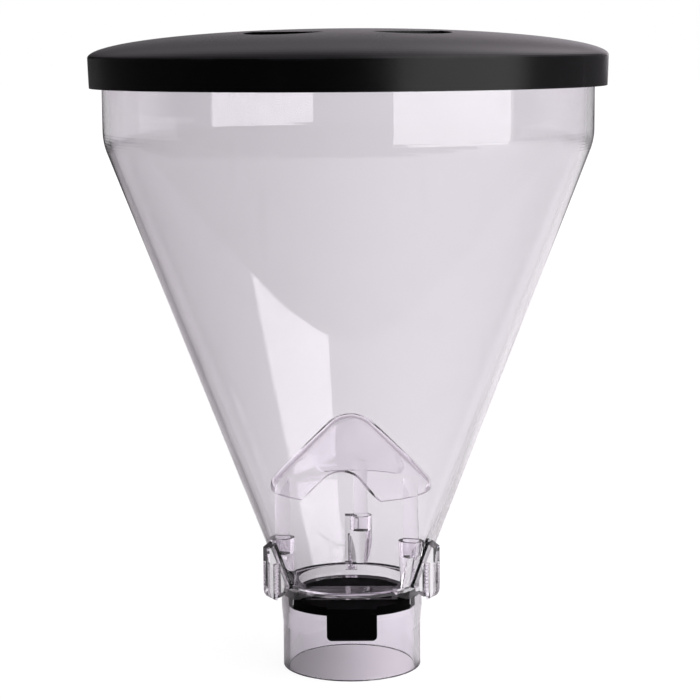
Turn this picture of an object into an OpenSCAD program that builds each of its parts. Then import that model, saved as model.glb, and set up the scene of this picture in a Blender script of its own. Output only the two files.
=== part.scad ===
// Bean hopper of a coffee grinder: a clear cone with an outlet spigot, a gate, a bean guard and a lid.
// Frame: millimetres, +Z up, origin at the middle of the spigot's bottom rim, gate tab towards -Y.

/* [Spigot] */
// Outer diameter of the plain end that enters the grinder
spigot_d = 57.5; // [50:0.5:58]
// Wall of the plain end
spigot_wall = 2.45; // [2:0.05:3.5]
// Length of the plain end
spigot_plain_len = 18; // [10:0.5:30]
// Length of the flare from the plain end to the neck
spigot_flare_len = 7; // [3:0.5:12]
// Height of the straight collar above the flare, up to the gate's seat
spigot_collar_h = 2.3; // [1:0.1:6]

/* [Hopper] */
// Outer diameter of the neck between spigot and cone
neck_d = 58.8; // [58.4:0.1:66]
// Height of the plain neck above the gate's slot
neck_h = 4.7; // [4:0.1:8]
// Height of the cone
cone_h = 183.2; // [140:0.1:240]
// Outer diameter of the band at the top
band_d = 199; // [160:0.5:240]
// Height of the band
band_h = 30.2; // [20:0.1:50]
// Rounding between cone and band, on the outside
band_round = 25; // [8:1:60]
// Wall of the hopper
wall = 2.6; // [2:0.1:3]

/* [Throat] */
// Diameter of the hole that the gate closes
throat_d = 44; // [36:0.5:46]
// Thickness of the throat plate
throat_t = 5.6; // [5:0.1:8]
// Distance from the axis to the flat front edge of the hole
throat_front = 14.5; // [10:0.5:16]
// Thickness of the cross bar in front of the hole
throat_bar_t = 2.8; // [2:0.1:4]
// Height of the notch above the gate, in front of the cross bar
notch_h = 3.4; // [2:0.1:3.6]

/* [Ears] */
// Distance that an ear stands out from the neck
ear_reach = 10.8; // [10:0.1:18]
// Thickness of an ear
ear_t = 5.6; // [5:0.1:9]
// Radius of the round lower end of an ear
ear_round = 4.2; // [3:0.1:4.8]
// Height of an ear's lowest point above the gate's slot
ear_rise = 0.6; // [0.2:0.1:3]
// Height of an ear's upright outer edge, from which its top slopes up to the cone
ear_h = 22; // [18:0.5:30]
// Radius of the pilot hole for the fixing screw
ear_hole_r = 1.7; // [1:0.05:2.1]
// Depth of the pilot hole
ear_hole_depth = 15; // [6:0.5:16]

/* [Gate] */
// Distance that the gate overlaps the hole on each side
gate_lap = 2; // [1:0.1:3]
// Thickness of the gate
gate_t = 3.7; // [2.5:0.1:4.5]
// Wall behind the gate's slot
slot_wall = 1.5; // [1.2:0.1:2]
// Width of the pull tab
tab_w = 20.4; // [14:0.2:30]
// Distance that the pull tab hangs below the gate
tab_drop = 9.1; // [6:0.1:16]
// Thickness of the pull tab
tab_t = 3.2; // [2:0.1:5]
// Radius of the tab's lower corners
tab_corner = 2; // [0.5:0.1:4]
// Bevel along the tab's upper front edge
tab_bevel = 1.6; // [0.4:0.1:1.8]

/* [Bean guard] */
// Turn of the legs from the back, clockwise seen from above
guard_turn = 8; // [-20:1:20]
// Outer radius of the guard
guard_r = 33.7; // [31:0.1:37]
// Height of the guard's top above the leg sockets
guard_h = 49.8; // [44:0.1:70]
// Radius of the round nose at the guard's top
guard_nose_r = 13.8; // [6:0.1:16]
// Slope of the guard's roof from the level
guard_slope = 45; // [35:1:50]
// Rounding at the guard's shoulder
guard_round = 4.4; // [3.6:0.1:9]
// Height of the straight rim below the shoulder
guard_rim_h = 1; // [0.6:0.1:4]
// Wall of the guard
guard_t = 2.2; // [1.6:0.1:3]
// Radius at the top of an arch between two legs, and its height above the guard's rim
arch_r = 11; // [8:0.1:12.5]
// Width of an arch at the guard's rim
arch_w = 31.6; // [28:0.2:34]
// Diameter of a leg
leg_d = 6.2; // [5:0.1:7]
// Distance that the legs stand back from the guard's outside
leg_inset = 0.4; // [0.2:0.1:0.9]

/* [Leg sockets] */
// Height of a socket's upper face above the point where its leg would meet the wall
socket_rise = 3.2; // [1:0.1:8]
// Depth of a socket
socket_depth = 6.5; // [4:0.5:8]
// Wall of a socket
socket_wall = 1.6; // [1.2:0.1:2.2]

/* [Lid] */
// Height of the dome above the lid's shoulder
dome_h = 11.2; // [8:0.1:20]
// Height of the skirt
skirt_h = 12; // [8:0.5:20]
// How much narrower the skirt is at its lower edge, on the radius
skirt_draft = 0.4; // [0:0.1:1]
// Distance that the skirt hangs below the hopper's rim
skirt_drop = 8.5; // [4:0.5:10]
// Wall of the lid
lid_t = 2.6; // [2:0.1:3.5]
// Thickness of the ring that centres the lid in the band
lid_ring_t = 2.2; // [1.5:0.1:3]
// Depth of that ring below the hopper's rim
lid_ring_drop = 5.5; // [3:0.5:10]
// Thickness of a rib that rests on the hopper's rim
rib_t = 2; // [1.2:0.1:3]

/* [Finger recesses] */
// Radius of the round island that the recesses leave standing
island_r = 50; // [45:0.5:60]
// Radius of a recess, which is a half-moon outside the island
recess_r = 16; // [10:0.5:18]
// Turn of a recess from the front or the back, about the lid's axis
recess_turn = 29; // [26:1:36]
// Height of the floor of the recesses above the lid's shoulder
recess_floor = 2.5; // [0:0.1:4]

/* [Clearances] */
// Room above the gate in its slot
gate_play = 0.4; // [0.2:0.05:0.8]
// Room beside and behind the gate, and between tab and neck
gate_side_play = 0.3; // [0.2:0.05:0.6]
// Room between a leg and its socket, on the radius
leg_play = 0.1; // [0.05:0.05:0.3]
// Room between the lid's centring ring and the band, on the radius
lid_play = 0.3; // [0.2:0.05:1]
// Room between the lid's skirt and the band, on the radius
skirt_play = 2.9; // [1:0.1:6]

/* [Hidden] */
$fn = 96;
ear_n = 3;
leg_n = 3;
rib_n = 12;
// The first ear points to the back
ear_start = 90;
// Overlap of cutting tools past the face that they cut
cut = 1;
// Straight steps in each rounded stretch of an outline
arc_steps = 8;
dome_steps = 28;

clear_plastic = [0.86, 0.85, 0.90, 0.45];
black_plastic = [0.05, 0.05, 0.055];

spigot_r = spigot_d / 2;
neck_r = neck_d / 2;
band_r = band_d / 2;
lid_r = band_r + skirt_play + lid_t;

flare_z = spigot_plain_len + spigot_flare_len;
gate_seat_z = flare_z + spigot_collar_h;
gate_top_z = gate_seat_z + gate_t;
slot_top_z = gate_top_z + gate_play;
throat_top_z = slot_top_z + throat_t;
cone_z = slot_top_z + neck_h;
band_z = cone_z + cone_h;
rim_z = band_z + band_h;
shoulder_z = rim_z - skirt_drop + skirt_h;
cone_angle = atan((band_r - neck_r) / cone_h);
wall_across = wall / cos(cone_angle);

gate_w = throat_d + 2 * gate_lap;
slot_w = gate_w + 2 * gate_side_play;
slot_rear_r = neck_r - slot_wall;
gate_rear_r = slot_rear_r - gate_side_play;
bar_front = throat_front + throat_bar_t;
tab_z = gate_seat_z - tab_drop;

ear_r = neck_r + ear_reach;
ear_z = slot_top_z + ear_rise;
ear_lobe = [ear_r - ear_round, ear_z + ear_round];

leg_r = guard_r - leg_inset - leg_d / 2;
leg_hole_r = leg_d / 2 + leg_play;
leg_start = 90 - guard_turn;
socket_z = cone_height(leg_r + leg_hole_r + wall_across) + socket_rise;
leg_foot_z = socket_z - socket_depth;
guard_top_z = socket_z + guard_h;
guard_turn_down = 90 - guard_slope;
guard_nose_z = guard_top_z - guard_nose_r;
roof_fall = guard_r * tan(guard_slope) - guard_nose_r * (1 / cos(guard_slope) - 1);
guard_shoulder_z = guard_top_z - roof_fall - guard_round * tan(guard_turn_down / 2);
guard_rim_z = guard_shoulder_z - guard_rim_h;

// Outer radius of the cone at a height, and the height at which it has a radius
function cone_r(z) = neck_r + (z - cone_z) * tan(cone_angle);
function cone_height(r) = cone_z + (r - neck_r) / tan(cone_angle);

// Points on an arc about a centre, from one angle to another
function arc(centre, r, from, to, steps = arc_steps) =
    [for (i = [0:steps])
        let (a = from + (to - from) * i / steps)
        [centre[0] + r * cos(a), centre[1] + r * sin(a)]];

// A quarter of an ellipse from its outer end to its top, as points in the r-z plane
function dome_curve(r, h) =
    [for (i = [0:dome_steps])
        let (a = 90 * i / dome_steps)
        [r * cos(a), shoulder_z + h * sin(a)]];

// Repeats its children about the axis
module around(n, start = 0) {
    for (i = [0:n - 1]) {
        rotate([0, 0, start + 360 * i / n]) children();
    }
}

// Outline of the space that the gate slides in, or of the gate itself with a front radius
module gate_outline(width, rear_r, front_r) {
    intersection() {
        translate([-width / 2, -front_r]) square([width, front_r + rear_r]);
        union() {
            circle(r = rear_r);
            intersection() {
                circle(r = front_r);
                translate([-front_r, -front_r]) square([2 * front_r, front_r]);
            }
        }
    }
}

// Wall of the hopper from the throat plate to the rim
module hopper_wall() {
    round_z = band_z + band_round * tan(cone_angle / 2);
    round_centre = [band_r - band_round, round_z];
    rotate_extrude() {
        polygon(concat(
            [[0, slot_top_z], [neck_r, slot_top_z], [neck_r, cone_z]],
            arc(round_centre, band_round, -cone_angle, 0),
            [[band_r, rim_z], [band_r - wall, rim_z]],
            arc(round_centre, band_round - wall, 0, -cone_angle),
            [[cone_r(throat_top_z) - wall_across, throat_top_z], [0, throat_top_z]]
        ));
    }
}

// Solid cone that ends halfway through the wall, to trim what stands on the inside
module cone_core() {
    core_top_z = socket_z + cut;
    rotate_extrude() {
        polygon([
            [0, slot_top_z + throat_t / 2],
            [cone_r(slot_top_z + throat_t / 2) - wall_across / 2, slot_top_z + throat_t / 2],
            [cone_r(core_top_z) - wall_across / 2, core_top_z],
            [0, core_top_z]
        ]);
    }
}

// One screw ear, standing out along +X
module ear() {
    edge_z = min(ear_z + ear_h, cone_height(ear_r) - wall);
    top_z = edge_z + wall;
    web_z = max(ear_lobe[1], cone_z);
    rotate([90, 0, 0]) {
        linear_extrude(height = ear_t, center = true) {
            polygon(concat(
                [[cone_r(top_z) - wall_across / 2, top_z], [ear_r, edge_z]],
                arc(ear_lobe, ear_round, 0, -180),
                [[ear_lobe[0] - ear_round, web_z], [cone_r(web_z) - wall_across / 2, web_z]]
            ));
        }
    }
}

// Clear hopper with throat plate, screw ears and leg sockets
module hopper_cone() {
    color(clear_plastic) {
        difference() {
            union() {
                hopper_wall();
                around(ear_n, ear_start) ear();
                intersection() {
                    around(leg_n, leg_start) {
                        translate([leg_r, 0, slot_top_z]) {
                            cylinder(r = leg_hole_r + socket_wall, h = socket_z - slot_top_z);
                        }
                    }
                    cone_core();
                }
            }
            // Hole that the gate closes, with a flat front edge
            translate([0, 0, slot_top_z - cut]) {
                linear_extrude(height = throat_t + 2 * cut) {
                    intersection() {
                        circle(d = throat_d);
                        translate([-throat_d / 2, -throat_front]) {
                            square([throat_d, throat_front + throat_d / 2]);
                        }
                    }
                }
            }
            // Notch in front of the cross bar, above the gate
            translate([-neck_r - cut, -neck_r - cut, slot_top_z - cut]) {
                cube([2 * (neck_r + cut), neck_r + cut - bar_front, notch_h + cut]);
            }
            // Pilot holes in the ears
            around(ear_n, ear_start) {
                translate([ear_lobe[0], 0, ear_z - cut]) cylinder(r = ear_hole_r, h = ear_hole_depth + cut);
            }
            // Sockets for the guard's legs
            around(leg_n, leg_start) {
                translate([leg_r, 0, leg_foot_z]) cylinder(r = leg_hole_r, h = socket_depth + cut);
            }
        }
    }
}

// Clear outlet tube whose top is the gate's seat, with a wall beside and behind the gate
module spigot_sleeve() {
    color(clear_plastic) {
        difference() {
            rotate_extrude() {
                polygon([
                    [0, 0],
                    [spigot_r, 0],
                    [spigot_r, spigot_plain_len],
                    [neck_r, flare_z],
                    [neck_r, slot_top_z],
                    [0, slot_top_z]
                ]);
            }
            translate([0, 0, -cut]) cylinder(r = spigot_r - spigot_wall, h = slot_top_z + 2 * cut);
            translate([0, 0, gate_seat_z]) {
                linear_extrude(height = slot_top_z - gate_seat_z + cut) {
                    gate_outline(slot_w, slot_rear_r, neck_r + cut);
                }
            }
        }
    }
}

// Side view of the pull tab and its root on the gate, as points in the y-z plane
function tab_profile() =
    let (back = -neck_r - gate_side_play)
    let (front = back - tab_t)
    let (root = -neck_r + tab_t)
    [
        [root, gate_seat_z],
        [back, gate_seat_z],
        [back, tab_z],
        [front, tab_z],
        [front, gate_top_z - tab_bevel],
        [front + tab_bevel, gate_top_z],
        [root, gate_top_z]
    ];

// Front view of the pull tab: a bar with round lower corners, as a solid along Y
module tab_front() {
    corner_z = tab_z + tab_corner;
    rotate([90, 0, 0]) {
        linear_extrude(height = 2 * neck_r) {
            for (side = [-1, 1]) {
                translate([side * (tab_w / 2 - tab_corner), corner_z]) circle(r = tab_corner);
            }
            translate([-tab_w / 2, corner_z]) square([tab_w, gate_top_z + cut - corner_z]);
            translate([tab_corner - tab_w / 2, tab_z]) square([tab_w - 2 * tab_corner, 2 * tab_corner]);
        }
    }
}

// Black slide that closes the throat, with its pull tab
module gate_slide() {
    color(black_plastic) {
        translate([0, 0, gate_seat_z]) {
            linear_extrude(height = gate_t) gate_outline(gate_w, gate_rear_r, neck_r);
        }
        intersection() {
            rotate([90, 0, 90]) {
                linear_extrude(height = tab_w, center = true) polygon(tab_profile());
            }
            tab_front();
        }
    }
}

// Outline of the guard's roof from a height to its top, moved inwards by a distance, in the r-z plane
function roof_curve(inset, from_z) =
    concat(
        [[guard_r - inset, from_z]],
        arc([guard_r - guard_round, guard_shoulder_z], guard_round - inset, 0, guard_turn_down),
        arc([0, guard_nose_z], guard_nose_r - inset, guard_turn_down, 90)
    );

// The same points from the top down
function reversed(points) = [for (i = [len(points) - 1:-1:0]) points[i]];

// Legs that end inside the roof's wall
module guard_legs() {
    rim_middle_z = guard_rim_z + guard_rim_h / 2;
    intersection() {
        around(leg_n, leg_start) {
            translate([leg_r, 0, leg_foot_z]) cylinder(d = leg_d, h = guard_h + socket_depth);
        }
        rotate_extrude() {
            polygon(concat(
                [[0, leg_foot_z - cut], [guard_r + cut, leg_foot_z - cut], [guard_r + cut, rim_middle_z]],
                roof_curve(guard_t / 2, rim_middle_z)
            ));
        }
    }
}

// Outline of an arch above the guard's rim: a round top on straight flanks
module arch_outline() {
    flank = asin(2 * arch_r / arch_w);
    foot = arch_w / 2 + cut / tan(flank);
    polygon(concat(
        [[foot, -cut]],
        arc([0, 0], arch_r, 90 - flank, 90 + flank, 2 * arc_steps),
        [[-foot, -cut]]
    ));
}

// Clear roof over the throat, on legs, with an arch between each two legs
module bean_guard() {
    color(clear_plastic) {
        difference() {
            rotate_extrude() {
                polygon(concat(roof_curve(0, guard_rim_z), reversed(roof_curve(guard_t, guard_rim_z))));
            }
            around(leg_n, leg_start + 180 / leg_n) {
                translate([guard_r / 3, 0, guard_rim_z]) {
                    rotate([90, 0, 90]) linear_extrude(height = guard_r) arch_outline();
                }
            }
        }
        guard_legs();
    }
}

// Outline of a pair of finger recesses, grown by a wall
module recess_outline(grow) {
    difference() {
        for (side = [-1, 1]) {
            rotate([0, 0, side * recess_turn]) translate([0, -island_r]) circle(r = recess_r + grow);
        }
        circle(r = island_r - grow);
    }
}

// Lid as one full solid, without its hollow
module lid_body(r, h, foot_z) {
    rotate_extrude() {
        polygon(concat([[0, foot_z], [r - skirt_draft, foot_z]], dome_curve(r, h)));
    }
}

// Black lid: dome and skirt, finger recesses on top, centring ring and ribs underneath
module lid() {
    foot_z = shoulder_z - skirt_h;
    ring_r = band_r - wall - lid_play;
    ring_h = skirt_h + dome_h;
    floor_z = shoulder_z + recess_floor;
    color(black_plastic) {
        difference() {
            union() {
                difference() {
                    lid_body(lid_r, dome_h, foot_z);
                    lid_body(lid_r - lid_t, dome_h - lid_t, foot_z - cut);
                }
                intersection() {
                    lid_body(lid_r - lid_t / 2, dome_h - lid_t / 2, foot_z);
                    union() {
                        // Cups under the finger recesses
                        around(2) {
                            translate([0, 0, floor_z - lid_t]) {
                                linear_extrude(height = dome_h + lid_t) recess_outline(lid_t);
                            }
                        }
                        // Centring ring
                        difference() {
                            translate([0, 0, rim_z - lid_ring_drop]) cylinder(r = ring_r, h = ring_h);
                            translate([0, 0, foot_z - cut]) cylinder(r = ring_r - lid_ring_t, h = ring_h);
                        }
                        // Ribs that rest on the hopper's rim
                        around(rib_n) {
                            translate([ring_r - lid_ring_t / 2, -rib_t / 2, rim_z]) {
                                cube([lid_r - ring_r, rib_t, skirt_h]);
                            }
                        }
                    }
                }
            }
            around(2) {
                translate([0, 0, floor_z]) linear_extrude(height = dome_h) recess_outline(0);
            }
        }
    }
}

hopper_cone();
spigot_sleeve();
gate_slide();
bean_guard();
lid();
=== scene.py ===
# %% [markdown]
# # A clear bean hopper, dressed for its portrait
#
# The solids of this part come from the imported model: a clear cone, its outlet spigot, a black gate, a clear
# bean guard and a domed black lid. This lesson loads them, sets up the camera and the light of a small
# product studio, and then gives each piece the finish that it has on the real object. Lengths are in metres,
# +Z is up, and the gate's pull tab points towards -Y, which is where the camera stands.

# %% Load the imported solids
import math

import bmesh
import bpy
from mathutils import Matrix, Vector


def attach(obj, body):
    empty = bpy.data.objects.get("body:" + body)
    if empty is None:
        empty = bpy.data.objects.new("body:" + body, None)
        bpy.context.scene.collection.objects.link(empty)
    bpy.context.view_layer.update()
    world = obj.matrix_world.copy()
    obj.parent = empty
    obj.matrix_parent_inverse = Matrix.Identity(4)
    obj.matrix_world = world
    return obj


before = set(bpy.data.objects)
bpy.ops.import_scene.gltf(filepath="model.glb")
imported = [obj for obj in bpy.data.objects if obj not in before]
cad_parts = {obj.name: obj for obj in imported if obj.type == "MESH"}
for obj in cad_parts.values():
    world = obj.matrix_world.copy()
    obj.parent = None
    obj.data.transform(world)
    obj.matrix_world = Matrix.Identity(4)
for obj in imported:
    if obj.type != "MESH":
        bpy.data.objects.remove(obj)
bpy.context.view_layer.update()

scene = bpy.context.scene
scene.view_settings.view_transform = "Standard"

# %% [markdown]
# ## The camera
#
# The lid and the spigot's rim are both circles, so the two ellipses that they make in the picture give the
# viewing angle. The camera stands about 0.88 m away, a little below the top of the lid, and looks down by
# eight degrees through a long lens. It is rolled by 0.4 degrees, which lies between the lean of the cone and
# that of the lid.

# %% Camera
CAMERA_DISTANCE, CAMERA_HEIGHT = 0.8832, 0.2600
LOOK_DOWN, CAMERA_ROLL = math.radians(8.2), math.radians(-0.4)
SENSOR_MM, LENS_MM = 36.0, 111.1
FARTHEST_SEEN = 50.0

camera_data = bpy.data.cameras.new("portrait_camera")
camera_data.sensor_width = SENSOR_MM
camera_data.lens = LENS_MM
camera_data.clip_end = FARTHEST_SEEN
camera = bpy.data.objects.new("portrait_camera", camera_data)
scene.collection.objects.link(camera)
camera.matrix_world = (
    Matrix.Translation((0.0, -CAMERA_DISTANCE, CAMERA_HEIGHT))
    @ Matrix.Rotation(math.pi / 2 - LOOK_DOWN, 4, "X")
    @ Matrix.Rotation(CAMERA_ROLL, 4, "Z")
)
scene.camera = camera
print("camera at", [round(v, 3) for v in camera.matrix_world.translation], "lens", camera_data.lens)

# %% [markdown]
# ## Nodes by name
#
# Shader trees are easier to read when each node is made, named and wired in one line. These small helpers do
# only that: `put` adds a node and sets its plain values, `wire` joins two sockets, and `feed` fills a socket
# with either a plain value or another node's output, which is written as a pair of node and socket.


# %% Helpers for node trees
def put(tree, kind, name, inputs=None, **settings):
    node = tree.nodes.new(kind)
    node.name = name
    node.label = name.replace("_", " ")
    for key, value in settings.items():
        setattr(node, key, value)
    for key, value in (inputs or {}).items():
        node.inputs[key].default_value = value
    return node


def wire(tree, source, output, target, entry):
    tree.links.new(source.outputs[output], target.inputs[entry])


def feed(tree, source, target, entry):
    if isinstance(source, tuple) and isinstance(source[0], bpy.types.Node):
        wire(tree, *source, target, entry)
    else:
        target.inputs[entry].default_value = source


def blank_material(name):
    made = bpy.data.materials.new(name)
    made.use_nodes = True
    made.node_tree.nodes.clear()
    return made, made.node_tree


# %% [markdown]
# ### Sums, ramps and mixes
#
# Light levels are worked out with three kinds of node. `combine` is one step of arithmetic. `ramp` fades
# softly between two levels; its span is the start and end on the way in, then the low and high level on the
# way out. `between` is the same without the softness. A Mix node tells its sockets apart by number only, so
# the numbers get names here.

# %% Sums, ramps and mixes
MIX_FACTOR, VALUE_A, VALUE_B, COLOUR_A, COLOUR_B = 0, 2, 3, 6, 7
VALUE_OUT, COLOUR_OUT = 0, 2


def combine(tree, name, operation, first, second, clamp=False):
    made = put(tree, "ShaderNodeMath", name, operation=operation, use_clamp=clamp)
    feed(tree, first, made, 0)
    feed(tree, second, made, 1)
    return made


def ramp(tree, name, span, source):
    start, end, low, high = span
    made = put(
        tree, "ShaderNodeMapRange", name, interpolation_type="SMOOTHSTEP",
        inputs={"From Min": start, "From Max": end, "To Min": low, "To Max": high},
    )
    feed(tree, source, made, "Value")
    return made


def between(tree, name, source, low, high):
    made = put(tree, "ShaderNodeMapRange", name)
    for entry, value in (("Value", source), ("To Min", low), ("To Max", high)):
        feed(tree, value, made, entry)
    return made


def mixed(tree, name, factor, first, second, kind="FLOAT"):
    made = put(tree, "ShaderNodeMix", name, data_type=kind)
    entries = (VALUE_A, VALUE_B) if kind == "FLOAT" else (COLOUR_A, COLOUR_B)
    for entry, value in zip((MIX_FACTOR, *entries), (factor, first, second)):
        feed(tree, value, made, entry)
    return made


# %% [markdown]
# ## The room
#
# Clear plastic shows mostly what is around it. Seen directly, the background is plain white, and seen through
# the plastic it is the same backdrop with the soft fall of light that a lamp on the right gives it. Seen in a
# reflection, the room has a white backdrop behind the hopper, a pale ceiling that is brighter towards the
# right, a dim right side and a dark left side. That keeps a black lid black while clear edges stay light. A
# ray that is mirrored inside the plastic meets the backdrop where it goes back and stays low, and little of
# the room elsewhere. One that is mirrored on a piece inside the hopper meets an even, pale surround. The
# light path's depths tell these cases apart: some count mirrors and matt surfaces, another counts clear
# walls.

# %% Kinds of rays
# A mirrored ray that has passed through more faces than this comes from a piece inside the hopper.
DEEP_WALLS, DEEP_LEVEL = 4.0, 0.60


def ray_kinds(tree):
    path = put(tree, "ShaderNodeLightPath", "path")
    bounced = combine(tree, "bounced", "ADD", (path, "Glossy Depth"), (path, "Diffuse Depth"), clamp=True)
    through = combine(tree, "through", "MINIMUM", (path, "Transmission Depth"), 1.0)
    return path, bounced, through


def mirrored_within(tree, path, bounced, through):
    inside = combine(tree, "inside", "MULTIPLY", (bounced, "Value"), (through, "Value"))
    walls = combine(tree, "walls", "SUBTRACT", (path, "Transmission Depth"), DEEP_WALLS, clamp=True)
    deep = combine(tree, "deep", "MULTIPLY", (bounced, "Value"), (walls, "Value"))
    return inside, deep


def lit_in_plastic(tree, lit, inside, deep):
    lit_inside = combine(tree, "lit_inside", "MULTIPLY", (lit, "Value"), (inside, "Value"))
    lit_deep = combine(tree, "lit_deep", "MULTIPLY", (deep, "Value"), DEEP_LEVEL)
    return combine(tree, "lit_plastic", "MAXIMUM", (lit_inside, "Value"), (lit_deep, "Value"))


# %% Fall of light
# Across the backdrop, by the sideways slope of a ray that leaves the camera's place.
BACKDROP_FALL = (-0.10, 0.055, 0.76, 0.97)
# A ray's sideways slope is measured against its way forward, and never against less than this.
LEAST_FORWARD = 0.2


def backdrop_fall(tree, sideways, forward):
    ahead = combine(tree, "ahead", "MAXIMUM", forward, LEAST_FORWARD)
    slope = combine(tree, "slope", "DIVIDE", sideways, (ahead, "Value"))
    return slope, ramp(tree, "fall", BACKDROP_FALL, (slope, "Value"))


# %% World seen directly and through plastic
WHITE = (1.0, 1.0, 1.0, 1.0)

world = bpy.data.worlds.new("studio_room")
scene.world = world
world.use_nodes = True
world.cycles.sampling_method = "NONE"
tree = world.node_tree
tree.nodes.clear()

path, bounced, through = ray_kinds(tree)
inside, deep = mirrored_within(tree, path, bounced, through)
direction = put(tree, "ShaderNodeTexCoord", "direction")
split = put(tree, "ShaderNodeSeparateXYZ", "split")
wire(tree, direction, "Generated", split, "Vector")
slope, fall = backdrop_fall(tree, (split, "X"), (split, "Y"))
seen_level = mixed(tree, "seen_level", (path, "Is Camera Ray"), (fall, "Result"), 1.0)
seen = put(tree, "ShaderNodeBackground", "seen", inputs={"Color": WHITE})
wire(tree, seen_level, VALUE_OUT, seen, "Strength")
print("backdrop falls to", BACKDROP_FALL[2], "on the left")

# %% [markdown]
# ### The room in a mirror
#
# A photographed room could light the scene as well, but it would be a picture file. Here each wall is made of
# ramps over the ray's direction. The right side is a single one, the ceiling is a ramp upwards times one to
# the right, and the backdrop is a product of four, so that it ends on the left, on the right and at the top.

# %% Ceiling, right side and backdrop
CEILING_UP, CEILING_RIGHT = (0.05, 0.70, 0.015, 0.58), (-0.05, 0.45, 0.85, 2.80)
RIGHT_SIDE = (-0.2, 1.0, 0.0, 0.12)
BEHIND, NOT_HIGH = (0.5, 0.8, 0.0, 1.0), (0.08, 0.30, 1.0, 0.0)
NOT_LEFT, NOT_RIGHT = (-0.35, 0.30, 0.0, 1.0), (0.30, 0.55, 1.0, 0.0)

upwards = ramp(tree, "ceiling", CEILING_UP, (split, "Z"))
to_right = ramp(tree, "to_right", CEILING_RIGHT, (split, "X"))
ceiling = combine(tree, "ceiling_light", "MULTIPLY", (upwards, "Result"), (to_right, "Result"))
right_side = ramp(tree, "right_side", RIGHT_SIDE, (split, "X"))
behind = ramp(tree, "behind", BEHIND, (split, "Y"))
not_left = ramp(tree, "not_left", NOT_LEFT, (slope, "Value"))
not_right = ramp(tree, "not_right", NOT_RIGHT, (slope, "Value"))
not_high = ramp(tree, "not_high", NOT_HIGH, (split, "Z"))
width = combine(tree, "backdrop_width", "MULTIPLY", (not_left, "Result"), (not_right, "Result"))
height = combine(tree, "backdrop_height", "MULTIPLY", (width, "Value"), (not_high, "Result"))
backdrop = combine(tree, "backdrop", "MULTIPLY", (height, "Value"), (behind, "Result"))
sides = combine(tree, "sides", "ADD", (ceiling, "Value"), (right_side, "Result"))
outside_level = combine(tree, "outside_level", "ADD", (sides, "Value"), (backdrop, "Value"))
print("room in a mirror:", len(tree.nodes), "nodes so far")

# %% The room from inside the plastic
# Share of the room that a ray mirrored inside the plastic still meets, and the backdrop's light for it.
INSIDE_SHARE = (0.0, 1.0, 1.0, 0.15)
BACKDROP_BACK, BACKDROP_LOW = (0.0, 0.5, 0.0, 0.85), (0.05, 0.14, 1.0, 0.0)
ROOM_TINT = (1.0, 0.93, 1.0, 1.0)

share = ramp(tree, "share", INSIDE_SHARE, (inside, "Value"))
shared_level = combine(tree, "shared_level", "MULTIPLY", (outside_level, "Value"), (share, "Result"))
lit_back = ramp(tree, "lit_back", BACKDROP_BACK, (split, "Y"))
lit_low = ramp(tree, "lit_low", BACKDROP_LOW, (split, "Z"))
lit = combine(tree, "lit", "MULTIPLY", (lit_back, "Result"), (lit_low, "Result"))
lit = lit_in_plastic(tree, lit, inside, deep)
room_level = combine(tree, "room_level", "MAXIMUM", (shared_level, "Value"), (lit, "Value"))
room = put(tree, "ShaderNodeBackground", "room", inputs={"Color": ROOM_TINT})
wire(tree, room_level, "Value", room, "Strength")

choose = put(tree, "ShaderNodeMixShader", "choose")
wire(tree, bounced, "Value", choose, "Fac")
wire(tree, seen, "Background", choose, 1)
wire(tree, room, "Background", choose, 2)
world_out = put(tree, "ShaderNodeOutputWorld", "world_out")
wire(tree, choose, "Shader", world_out, "Surface")
print("room:", len(tree.nodes), "nodes")

# %% [markdown]
# ## The table
#
# The hopper stands on a white table, which ends in front of it, as a real one does, so that the lid's skirt
# has the dark room to mirror and not a white floor. A single face is enough, because only its material
# counts.

# %% Table
# The table reaches this far to its sides and back, and towards the camera. It lies a hair below the rim.
TABLE_HALF, TABLE_FRONT, TABLE_GAP = 6.0, 0.4, 0.0002


def to_object(bm, name):
    mesh = bpy.data.meshes.new(name)
    bm.to_mesh(mesh)
    bm.free()
    made = bpy.data.objects.new(name, mesh)
    scene.collection.objects.link(made)
    return made


bm = bmesh.new()
bmesh.ops.create_grid(bm, x_segments=1, y_segments=1, size=TABLE_HALF)
bmesh.ops.translate(bm, verts=bm.verts, vec=(0.0, TABLE_HALF - TABLE_FRONT, -TABLE_GAP))
table = to_object(bm, "table")
print("table:", [round(v, 2) for v in table.dimensions])

# %% [markdown]
# ### The table's white
#
# The table keeps a real shadow under the spigot, so it is a matt surface that is lit like anything else.
# Towards the camera, and through clear plastic, most of its white is a glow of its own, so that it meets the
# backdrop without an edge, and inside the spigot that glow carries a painted shadow as well. More lamps would
# whiten it too, but they would also light the hopper.

# %% Table seen directly and through plastic
TABLE_GLOW = 0.90
# Through plastic, the table close to the hopper is dimmer on the left, which is the side away from the lamp.
SHADE_SIDE, SHADE_REACH = (-0.03, 0.03, 0.72, 1.0), (0.10, 0.30, 0.0, 1.0)

table_white, tree = blank_material("table_white")
path, bounced, through = ray_kinds(tree)
inside, deep = mirrored_within(tree, path, bounced, through)
spot = put(tree, "ShaderNodeNewGeometry", "spot")
split = put(tree, "ShaderNodeSeparateXYZ", "split")
wire(tree, spot, "Position", split, "Vector")
radius = put(tree, "ShaderNodeVectorMath", "radius", operation="LENGTH")
wire(tree, spot, "Position", radius, 0)
away = combine(tree, "away", "ADD", (split, "Y"), CAMERA_DISTANCE)
_, fall = backdrop_fall(tree, (split, "X"), (away, "Value"))
shade_side = ramp(tree, "shade_side", SHADE_SIDE, (split, "X"))
shade = ramp(tree, "shade", SHADE_REACH, (radius, "Value"))
wire(tree, shade_side, "Result", shade, "To Min")
shaded_fall = combine(tree, "shaded_fall", "MULTIPLY", (fall, "Result"), (shade, "Result"))
seen_level = mixed(tree, "seen_level", (path, "Is Camera Ray"), (shaded_fall, "Value"), 1.0)
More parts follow.
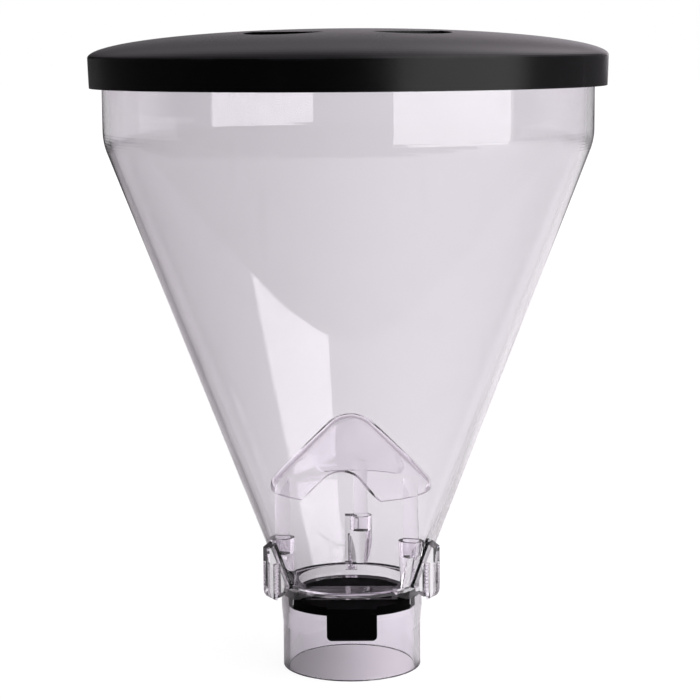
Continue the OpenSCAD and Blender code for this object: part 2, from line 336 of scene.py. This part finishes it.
seen_glow = combine(tree, "seen_glow", "MULTIPLY", (seen_level, VALUE_OUT), TABLE_GLOW)
print("table's glow:", TABLE_GLOW)

# %% [markdown]
# ### The table in a mirror
#
# For mirrored rays the table is lit only within a metre or two, and less far out on the front left. Just in
# front of the spigot it lies in the hopper's own shade, and that is the spot which the cone's front wall
# mirrors over the black gate. Rays that are mirrored inside the plastic find it lit behind the hopper, and
# far off, where it meets the backdrop.

# %% Reach of the table's light
REACH_FAR = (0.9, 1.8, 1.0, 0.1)
# This ramp runs over the sum of X and Y, which is lowest on the front left.
REACH_SIDE = (-0.75, -0.40, 0.25, 1.0)
NOT_NEAR, AT_BACK = (0.065, 0.11, 0.05, 1.0), (-0.02, 0.01, 0.0, 1.0)

reach_far = ramp(tree, "reach_far", REACH_FAR, (radius, "Value"))
front_left = combine(tree, "front_left", "ADD", (split, "X"), (split, "Y"))
reach_side = ramp(tree, "reach_side", REACH_SIDE, (front_left, "Value"))
reach_sides = combine(tree, "reach_sides", "MULTIPLY", (reach_far, "Result"), (reach_side, "Result"))
not_near = ramp(tree, "not_near", NOT_NEAR, (radius, "Value"))
at_back = ramp(tree, "at_back", AT_BACK, (split, "Y"))
unshaded = combine(tree, "unshaded", "MAXIMUM", (not_near, "Result"), (at_back, "Result"))
reach = combine(tree, "reach", "MULTIPLY", (reach_sides, "Value"), (unshaded, "Value"))
print("table's light ends between", REACH_FAR[0], "and", REACH_FAR[1], "m")

# %% Table's glow in a mirror
RIGHT_GLOW = (-0.20, 0.20, 0.0, 0.25)
GLOW_BACK, GLOW_RIGHT, GLOW_FAR = (0.0, 0.4, 0.0, 0.55), (-0.30, 0.05, 0.0, 1.0), (1.6, 3.0, 0.0, 0.85)

right_glow = ramp(tree, "right_glow", RIGHT_GLOW, (split, "X"))
outside_glow = combine(tree, "outside_glow", "MULTIPLY", (right_glow, "Result"), (reach, "Value"))
lit_back = ramp(tree, "lit_back", GLOW_BACK, (split, "Y"))
lit_right = ramp(tree, "lit_right", GLOW_RIGHT, (split, "X"))
lit_far = ramp(tree, "lit_far", GLOW_FAR, (radius, "Value"))
lit = combine(tree, "lit", "MULTIPLY", (lit_back, "Result"), (lit_right, "Result"))
lit = combine(tree, "lit_table", "MAXIMUM", (lit, "Value"), (lit_far, "Result"))
lit = lit_in_plastic(tree, lit, inside, deep)
mirrored_glow = combine(tree, "mirrored_glow", "MAXIMUM", (outside_glow, "Value"), (lit, "Value"))
glow_level = mixed(tree, "glow_level", (bounced, "Value"), (seen_glow, "Value"), (mirrored_glow, "Value"))
print("table in a mirror:", len(tree.nodes), "nodes so far")

# %% [markdown]
# ### The painted shadow inside the spigot
#
# Inside the spigot there is less of the glow. The closed gate and the lid keep the light off that round patch
# of table, so a painted shadow is put there. What light there is comes in through the spigot's wall from the
# right, so the painted shadow is darker on its left, and it has a faint tint. A real shadow dims only the
# light that falls on the table and not its own glow, so the painted shadow is a disc with a soft edge.

# %% Painted shadow and the finished table
# Radius and soft edge of the painted shadow, its painted shade from left to right, and its tint.
PATCH_R, PATCH_EDGE = 0.0255, 0.0285
PAINTED_SHADOW_SIDES, OFF_PAINTED_SHADOW = (-PATCH_R, PATCH_R, 0.48, 0.92), (PATCH_R, PATCH_EDGE, 0.0, 1.0)
PAINTED_SHADOW_TINT = (1.0, 0.94, 1.0, 1.0)
# Share of light that the table throws back, for direct and for mirrored rays.
TABLE_MATT, MIRRORED_MATT = 0.20, 0.95

# Painted shadow: the table's glow is dimmed in a soft disc under the spigot, more on the left than the right.
painted_shadow_side = ramp(tree, "painted_shadow_side", PAINTED_SHADOW_SIDES, (split, "X"))
patch = ramp(tree, "patch", OFF_PAINTED_SHADOW, (radius, "Value"))
wire(tree, painted_shadow_side, "Result", patch, "To Min")
shadowed_glow = combine(tree, "shadowed_glow", "MULTIPLY", (glow_level, VALUE_OUT), (patch, "Result"))
off_painted_shadow = ramp(tree, "off_painted_shadow", OFF_PAINTED_SHADOW, (radius, "Value"))
tint = mixed(tree, "tint", (off_painted_shadow, "Result"), PAINTED_SHADOW_TINT, WHITE, kind="RGBA")
glow = put(tree, "ShaderNodeEmission", "glow")
wire(tree, tint, COLOUR_OUT, glow, "Color")
wire(tree, shadowed_glow, "Value", glow, "Strength")

mirrored_matt = combine(tree, "mirrored_matt", "MULTIPLY", (reach, "Value"), MIRRORED_MATT)
matt_share = between(tree, "matt_share", (bounced, "Value"), TABLE_MATT, (mirrored_matt, "Value"))
matt = put(tree, "ShaderNodeBsdfDiffuse", "matt")
wire(tree, matt_share, "Result", matt, "Color")
both = put(tree, "ShaderNodeAddShader", "both")
wire(tree, matt, "BSDF", both, 0)
wire(tree, glow, "Emission", both, 1)
table_out = put(tree, "ShaderNodeOutputMaterial", "table_out")
wire(tree, both, "Shader", table_out, "Surface")
table.data.materials.append(table_white)
print("table's white:", len(tree.nodes), "nodes")

# %% [markdown]
# ## One softbox
#
# The bright shapes on the hopper are all one lamp. Its left edge shows as a straight upright line in the back
# wall, its right edge as a slanted one, and the band mirrors it twice: once in its front and once, the other
# way round, in its back. Followed back along those mirrored rays, the lamp is a rectangle of about 1.0 m by
# 0.8 m that stands beside the camera, on the right, with its foot near the height of the table.

# %% Softbox
SOFTBOX_NEAR, SOFTBOX_FAR = Vector((0.300, -0.867)), Vector((1.063, -0.249))
SOFTBOX_FOOT, SOFTBOX_TOP = 0.0, 0.80
SOFTBOX_RADIANCE = 3.9

run = SOFTBOX_FAR - SOFTBOX_NEAR
middle = (SOFTBOX_NEAR + SOFTBOX_FAR) / 2
softbox_data = bpy.data.lights.new("softbox", "AREA")
softbox_data.shape = "RECTANGLE"
softbox_data.size = run.length
softbox_data.size_y = SOFTBOX_TOP - SOFTBOX_FOOT
softbox_data.energy = SOFTBOX_RADIANCE * math.pi * softbox_data.size * softbox_data.size_y
softbox = bpy.data.objects.new("softbox", softbox_data)
scene.collection.objects.link(softbox)
facing = Vector((-run.y, run.x, 0.0))
softbox.matrix_world = (
    Matrix.Translation((middle.x, middle.y, (SOFTBOX_FOOT + SOFTBOX_TOP) / 2))
    @ facing.to_track_quat("-Z", "Y").to_matrix().to_4x4()
)
print(
    "softbox:", round(softbox_data.size, 2), "by", round(softbox_data.size_y, 2), "m,",
    round(softbox_data.energy, 1), "W",
)

# %% [markdown]
# ### The softbox's cloth
#
# A softbox has a white cloth in front of its lamp, which is a plain sheet here. Seen directly, or through
# clear plastic from behind the hopper, it is as white as the background and no brighter. Its light is dimmed
# where it reaches a piece at first hand, and passes in full once it has gone through a clear wall, because in
# the portrait the bright shapes stand out within the hopper and stay soft on the black lid. From behind, the
# sheet is not there at all, so that it hides nothing from a camera that stands further away than the lamp.

# %% Softbox cloth
# The sheet hangs this far in front of the lamp, and is this much larger. It starts as one square metre.
CLOTH_GAP, CLOTH_MARGIN, HALF_METRE = 0.004, 1.02, 0.5

bm = bmesh.new()
bmesh.ops.create_grid(bm, x_segments=1, y_segments=1, size=HALF_METRE)
bmesh.ops.reverse_faces(bm, faces=bm.faces)
cloth_size = (CLOTH_MARGIN * softbox_data.size, CLOTH_MARGIN * softbox_data.size_y, 1.0)
bmesh.ops.scale(bm, verts=bm.verts, vec=cloth_size)
bmesh.ops.translate(bm, verts=bm.verts, vec=(0.0, 0.0, -CLOTH_GAP))
bmesh.ops.transform(bm, verts=bm.verts, matrix=softbox.matrix_world)
cloth = to_object(bm, "softbox_cloth")
print("cloth:", [round(v, 2) for v in cloth.dimensions])

# %% Cloth's white
# Share of the lamp's light that passes the cloth at first hand, and in full after a clear wall.
CLOTH_SHARE = (0.0, 1.0, 0.4, 1.0)

cloth_white, tree = blank_material("cloth_white")
path, bounced, through = ray_kinds(tree)
side = put(tree, "ShaderNodeNewGeometry", "side")
indirect = combine(tree, "indirect", "MAXIMUM", (bounced, "Value"), (path, "Is Shadow Ray"))
unseen = combine(tree, "unseen", "MAXIMUM", (indirect, "Value"), (side, "Backfacing"))
passed = ramp(tree, "passed", CLOTH_SHARE, (through, "Value"))
passed = combine(tree, "passed_or_behind", "MAXIMUM", (passed, "Result"), (side, "Backfacing"))
white = put(tree, "ShaderNodeEmission", "white")
clear = put(tree, "ShaderNodeBsdfTransparent", "clear")
wire(tree, passed, "Value", clear, "Color")
either = put(tree, "ShaderNodeMixShader", "either")
wire(tree, unseen, "Value", either, "Fac")
wire(tree, white, "Emission", either, 1)
wire(tree, clear, "BSDF", either, 2)
cloth_out = put(tree, "ShaderNodeOutputMaterial", "cloth_out")
wire(tree, either, "Shader", cloth_out, "Surface")
cloth.data.materials.append(cloth_white)
print("cloth's white:", len(tree.nodes), "nodes")

# %% [markdown]
# ## Shared surface effects
#
# Real plastic is never quite even, and the same few effects turn up on every piece of this object. Each is
# therefore a node group: it is built once and placed in each finish with its own values. All of them read
# object coordinates, which are metres here, so a scale of 100 means a pattern of about 10 mm.


# %% Start a node group
def group(name, inputs, output):
    made = bpy.data.node_groups.new(name, "ShaderNodeTree")
    for label, default in inputs:
        socket = made.interface.new_socket(label, in_out="INPUT", socket_type="NodeSocketFloat")
        socket.default_value = default
    made.interface.new_socket(output, in_out="OUTPUT", socket_type="NodeSocketFloat")
    place = put(made, "ShaderNodeTexCoord", "place")
    return made, place, put(made, "NodeGroupInput", "inputs"), put(made, "NodeGroupOutput", "outputs")


def noise_in(tree, name, place, scale, detail, roughness):
    made = put(tree, "ShaderNodeTexNoise", name, inputs={"Detail": detail, "Roughness": roughness})
    feed(tree, place, made, "Vector")
    feed(tree, scale, made, "Scale")
    return made


# %% [markdown]
# ### Handling marks
#
# A hopper that is filled and wiped every day carries faint, cloudy smudges and short hairlines. The smudges
# are a soft noise of which only the peaks count. The hairlines are the same kind of noise, pulled long by a
# Mapping node. A painted mask would be sharper, but it would need a picture, and noise costs nothing to
# repeat.

# %% Handling marks
MARK_SCALES = [("Smudge Scale", 28.0), ("Hairline Scale", 140.0)]
SMUDGE_PEAKS, HAIRLINE_PEAKS = (0.48, 0.78, 0.0, 0.7), (0.66, 0.74, 0.0, 0.5)
HAIRLINE_TURN, HAIRLINE_PULL = (0.5, 0.3, 0.9), (1.0, 0.06, 0.12)

marks, place, entry, leave = group("handling_marks", MARK_SCALES, "Mask")
smudge = noise_in(
    marks, "smudge", (place, "Object"), (entry, "Smudge Scale"), detail=4.0, roughness=0.55
)
smudge_mask = ramp(marks, "smudge_mask", SMUDGE_PEAKS, (smudge, "Fac"))
pull = {"Rotation": HAIRLINE_TURN, "Scale": HAIRLINE_PULL}
stretch = put(marks, "ShaderNodeMapping", "stretch", inputs=pull)
wire(marks, place, "Object", stretch, "Vector")
hairline = noise_in(
    marks, "hairline", (stretch, "Vector"), (entry, "Hairline Scale"), detail=2.0, roughness=0.5
)
hairline_mask = ramp(marks, "hairline_mask", HAIRLINE_PEAKS, (hairline, "Fac"))
mask = combine(marks, "mask", "MAXIMUM", (smudge_mask, "Result"), (hairline_mask, "Result"))
wire(marks, mask, "Value", leave, "Mask")
print("handling marks:", len(marks.nodes), "nodes")

# %% [markdown]
# ### Grain and ripple
#
# Two textures come from the mould. The lid's mould was spark-eroded, which leaves a fine, even grain of under
# half a millimetre. The clear pieces come from a polished mould, and theirs is only a slow ripple, less than
# a tenth of a millimetre high, that makes the edges of mirrored lamps waver a little. Both are noise, and
# both go into a Bump node, because neither would be worth the faces that real relief takes.


# %% Moulding relief
def relief(name, scale, detail):
    made, place, entry, leave = group(name, [("Scale", scale)], "Height")
    noise = noise_in(made, "noise", (place, "Object"), (entry, "Scale"), detail, roughness=0.6)
    wire(made, noise, "Fac", leave, "Height")
    return made


grain = relief("moulding_grain", scale=2200.0, detail=2.0)
ripple = relief("moulding_ripple", scale=30.0, detail=0.0)
print("relief:", grain.name, ripple.name)

# %% [markdown]
# ### Dust specks
#
# A few specks of dust sit on any plastic, which draws them. A Voronoi texture drops one point into each of
# its cells; the group keeps a small share of those points, by the cell's random colour, and turns the
# distance to them into small soft dots. Scattered little spheres would do the same, but they would have to
# be placed.

# %% Dust specks
SPECKS = [("Scale", 160.0), ("Radius", 0.07), ("Share", 0.06)]
# The end of this ramp is replaced by the group's own radius.
DOT = (0.0, 0.07, 1.0, 0.0)

dust, place, entry, leave = group("dust_specks", SPECKS, "Mask")
cells = put(dust, "ShaderNodeTexVoronoi", "cells")
wire(dust, place, "Object", cells, "Vector")
wire(dust, entry, "Scale", cells, "Scale")
dot = ramp(dust, "dot", DOT, (cells, "Distance"))
wire(dust, entry, "Radius", dot, "From Max")
chance = put(dust, "ShaderNodeSeparateColor", "chance")
wire(dust, cells, "Color", chance, "Color")
kept = combine(dust, "kept", "LESS_THAN", (chance, "Red"), (entry, "Share"))
speck = combine(dust, "speck", "MULTIPLY", (dot, "Result"), (kept, "Value"))
wire(dust, speck, "Value", leave, "Mask")
print("dust specks:", len(dust.nodes), "nodes")

# %% [markdown]
# ### Rubbed edges
#
# Edges that hands and other parts touch are rubbed: the lid's shoulder, the lower edge of the pull tab and
# the spigot's rim. Each of them lies at one height, so the mask is a band about that height, broken up by
# noise. Edge detection would find them too, but it needs joined faces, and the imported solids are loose
# triangles.

# %% Rubbed edges
RUB_BAND = [("Height", 0.0), ("Width", 0.001), ("Scale", 90.0)]
# The end of the first ramp is replaced by the group's own width.
NEAR_EDGE, RUB_BREAKS = (0.0, 0.001, 1.0, 0.0), (0.40, 0.62, 0.0, 1.0)

rubbed, place, entry, leave = group("rubbed_edge", RUB_BAND, "Mask")
split = put(rubbed, "ShaderNodeSeparateXYZ", "split")
wire(rubbed, place, "Object", split, "Vector")
apart = combine(rubbed, "apart", "SUBTRACT", (split, "Z"), (entry, "Height"))
off = put(rubbed, "ShaderNodeMath", "off", operation="ABSOLUTE")
wire(rubbed, apart, "Value", off, 0)
near = ramp(rubbed, "near", NEAR_EDGE, (off, "Value"))
wire(rubbed, entry, "Width", near, "From Max")
breaks = noise_in(rubbed, "breaks", (place, "Object"), (entry, "Scale"), detail=3.0, roughness=0.6)
broken = ramp(rubbed, "broken", RUB_BREAKS, (breaks, "Fac"))
rub = combine(rubbed, "rub", "MULTIPLY", (near, "Result"), (broken, "Result"))
wire(rubbed, rub, "Value", leave, "Mask")
print("groups:", [g.name for g in bpy.data.node_groups])

# %% [markdown]
# ## Clear plastic
#
# The hopper, its spigot and the bean guard are a clear, polished plastic with a faint smoky lavender tint. A
# Principled shader with full transmission bends light as such a wall does; a mix of Transparent and Glossy
# would be quicker, but thick edges would stay empty. The tint is a touch deeper under smudges, dust darkens
# it in specks, and the roughness follows the marks. The guard bends light less than the walls do, because its
# rims look soft on the real one.

# %% Clear plastic
SMUDGE_DEPTH, SPECK_DEPTH = 0.975, 0.45
CLEAR_ROUGH, SMUDGED_ROUGH, SCUFFED_ROUGH = 0.01, 0.07, 0.35
RIPPLE_HEIGHT = 0.0001


def rgba(colour, share=1.0):
    return (*(share * v for v in colour), 1.0)


def bumped(tree, texture, strength, height, shader):
    relief_group = put(tree, "ShaderNodeGroup", "texture", node_tree=texture)
    bump = put(tree, "ShaderNodeBump", "bump", inputs={"Strength": strength, "Distance": height})
    wire(tree, relief_group, "Height", bump, "Height")
    wire(tree, bump, "Normal", shader, "Normal")
    out = put(tree, "ShaderNodeOutputMaterial", "out")
    wire(tree, shader, "BSDF", out, "Surface")


def clear_plastic(name, tint, bending, speck_share, rim_width):
    finish, tree = blank_material(name)
    shader = put(
        tree, "ShaderNodeBsdfPrincipled", "shader",
        inputs={"Metallic": 0.0, "IOR": bending, "Transmission Weight": 1.0},
    )
    worn = put(tree, "ShaderNodeGroup", "worn", node_tree=marks)
    specks = put(tree, "ShaderNodeGroup", "specks", node_tree=dust, inputs={"Share": speck_share})
    rim = put(tree, "ShaderNodeGroup", "rim", node_tree=rubbed, inputs={"Width": rim_width})
    smoky = mixed(tree, "smoky", (worn, "Mask"), rgba(tint), rgba(tint, SMUDGE_DEPTH), kind="RGBA")
    dusty = mixed(
        tree, "dusty", (specks, "Mask"), (smoky, COLOUR_OUT), rgba(tint, SPECK_DEPTH), kind="RGBA"
    )
    wire(tree, dusty, COLOUR_OUT, shader, "Base Color")
    rough = between(tree, "rough", (worn, "Mask"), CLEAR_ROUGH, SMUDGED_ROUGH)
    scuffed = between(tree, "scuffed", (rim, "Mask"), (rough, "Result"), SCUFFED_ROUGH)
    wire(tree, scuffed, "Result", shader, "Roughness")
    bumped(tree, ripple, strength=1.0, height=RIPPLE_HEIGHT, shader=shader)
    return finish


# %% Clear finishes
hopper_clear = clear_plastic(
    "hopper_clear", (0.925, 0.901, 0.935), bending=1.5, speck_share=0.06, rim_width=0.001
)
spigot_clear = clear_plastic(
    "spigot_clear", (0.925, 0.890, 0.945), bending=1.5, speck_share=0.04, rim_width=0.0015
)
guard_clear = clear_plastic(
    "guard_clear", (0.912, 0.902, 0.919), bending=1.13, speck_share=0.04, rim_width=0.001
)
print("clear finishes:", [m.name for m in (hopper_clear, spigot_clear, guard_clear)])

# %% [markdown]
# ## Black plastic
#
# The lid is a deep black with a satin grain, and the gate is the same black from a smoother mould. Both are
# Principled shaders whose colour is lifted a little by smudges, rubbed edges and dust. Their roughness rises
# under smudges and falls where hands have polished an edge. The lid's specular level is below that of plain
# plastic, as it is on plastic that is filled with soot black. The gate has hardly any, because it stays black
# in the portrait even where it faces the lamp.

# %% Black plastic
SMUDGE_LIFT, RUB_LIFT, POLISH = 1.6, 5.0, 0.75
DUST_GREY, BLACK_SPECKS = (0.05, 0.048, 0.05), {"Share": 0.02, "Radius": 0.05}
BLACK_IOR, GRAIN_STRENGTH = 1.5, 0.35


def black_plastic(name, colour, gloss, smooth, worn_rough, grain_height, rub_height, rub_width):
    finish, tree = blank_material(name)
    shader = put(
        tree, "ShaderNodeBsdfPrincipled", "shader",
        inputs={"IOR": BLACK_IOR, "Specular IOR Level": gloss},
    )
    rub_place = {"Height": rub_height, "Width": rub_width}
    worn = put(tree, "ShaderNodeGroup", "worn", node_tree=marks)
    edge = put(tree, "ShaderNodeGroup", "edge", node_tree=rubbed, inputs=rub_place)
    specks = put(tree, "ShaderNodeGroup", "specks", node_tree=dust, inputs=BLACK_SPECKS)
    shown = mixed(tree, "smudged", (worn, "Mask"), rgba(colour), rgba(colour, SMUDGE_LIFT), kind="RGBA")
    for label, mask, paler in (
        ("bare", edge, rgba(colour, RUB_LIFT)),
        ("dusty", specks, rgba(DUST_GREY)),
    ):
        shown = mixed(tree, label, (mask, "Mask"), (shown, COLOUR_OUT), paler, kind="RGBA")
    wire(tree, shown, COLOUR_OUT, shader, "Base Color")
    rough = between(tree, "rough", (worn, "Mask"), smooth, worn_rough)
    polished = between(tree, "polished", (edge, "Mask"), (rough, "Result"), POLISH * smooth)
    wire(tree, polished, "Result", shader, "Roughness")
    bumped(tree, grain, strength=GRAIN_STRENGTH, height=grain_height, shader=shader)
    return finish


# %% Black finishes
lid_black = black_plastic(
    "lid_satin_black", (0.0012, 0.0011, 0.0013), gloss=0.35, smooth=0.24, worn_rough=0.32,
    grain_height=0.00007, rub_height=0.2530, rub_width=0.0012,
)
gate_black = black_plastic(
    "gate_smooth_black", (0.0014, 0.0013, 0.0015), gloss=0.01, smooth=0.40, worn_rough=0.50,
    grain_height=0.00003, rub_height=0.0185, rub_width=0.0010,
)
print("black finishes:", lid_black.name, gate_black.name)

# %% [markdown]
# ## Dress the solids
#
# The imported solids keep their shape, so each only gets its finish, through its own material slots.


# %% Dress the carried-over solids
def dress(node, finish):
    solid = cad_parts[node]
    for slot in solid.material_slots:
        slot.material = finish
    print(node, "wears", finish.name, "on", len(solid.data.polygons), "faces")


dress("hopper_cone", hopper_clear)
dress("spigot_sleeve", spigot_clear)
dress("bean_guard", guard_clear)
dress("gate_slide", gate_black)
dress("lid", lid_black)

# %% [markdown]
# ## Threads in the ears
#
# Each ear has a pilot hole that its screw has cut a thread into, and through the clear ear that thread shows
# as a ladder of fine lines. The thread is a small triangle, spun about the hole's axis while it climbs. Spin
# can climb by itself: its `dvec` is added at each step. The ends are closed with one face each, and the other
# two ears get turned copies.

# %% Thread of the first ear
THREAD_PITCH, THREAD_TURNS, THREAD_STEPS = 0.0015, 9, 20
THREAD_FOOT = 0.0327
HOLE_CENTRE, HOLE_WALL, THREAD_CREST = 0.0360, 0.00168, 0.00140
# Half the height of the thread's foot, as a share of its pitch.
THREAD_HALF = 0.30
ORIGIN, UPWARDS = (0.0, 0.0, 0.0), (0.0, 0.0, 1.0)

bm = bmesh.new()
corners = [
    bm.verts.new((HOLE_CENTRE + r, 0.0, THREAD_FOOT + rise * THREAD_PITCH))
    for r, rise in ((HOLE_WALL, -THREAD_HALF), (THREAD_CREST, 0.0), (HOLE_WALL, THREAD_HALF))
]
profile = [bm.edges.new((corners[i], corners[(i + 1) % 3])) for i in range(3)]
bmesh.ops.spin(
    bm, geom=corners + profile, cent=(HOLE_CENTRE, 0.0, 0.0), axis=UPWARDS,
    dvec=(0.0, 0.0, THREAD_PITCH / THREAD_STEPS), angle=2 * math.pi * THREAD_TURNS,
    steps=THREAD_STEPS * THREAD_TURNS, use_merge=False,
)
bmesh.ops.holes_fill(bm, edges=[e for e in bm.edges if e.is_boundary], sides=3)
bmesh.ops.rotate(bm, verts=bm.verts, cent=ORIGIN, matrix=Matrix.Rotation(math.pi / 2, 3, "Z"))
print("one thread:", len(bm.faces), "faces")

# %% Threads of all ears
EARS = 3

first_ear = list(bm.verts) + list(bm.edges) + list(bm.faces)
for turn in range(1, EARS):
    copy = bmesh.ops.duplicate(bm, geom=first_ear)["geom"]
    bmesh.ops.rotate(
        bm, verts=[v for v in copy if isinstance(v, bmesh.types.BMVert)], cent=ORIGIN,
        matrix=Matrix.Rotation(turn * 2 * math.pi / EARS, 3, "Z"),
    )
bmesh.ops.recalc_face_normals(bm, faces=bm.faces)
open_edges = sum(e.is_boundary for e in bm.edges)
print("threads:", len(bm.faces), "faces,", open_edges, "open edges, volume", bm.calc_volume())

ear_threads = to_object(bm, "ear_threads")
for face in ear_threads.data.polygons:
    face.use_smooth = False
ear_threads.data.materials.append(hopper_clear)
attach(ear_threads, "hopper")
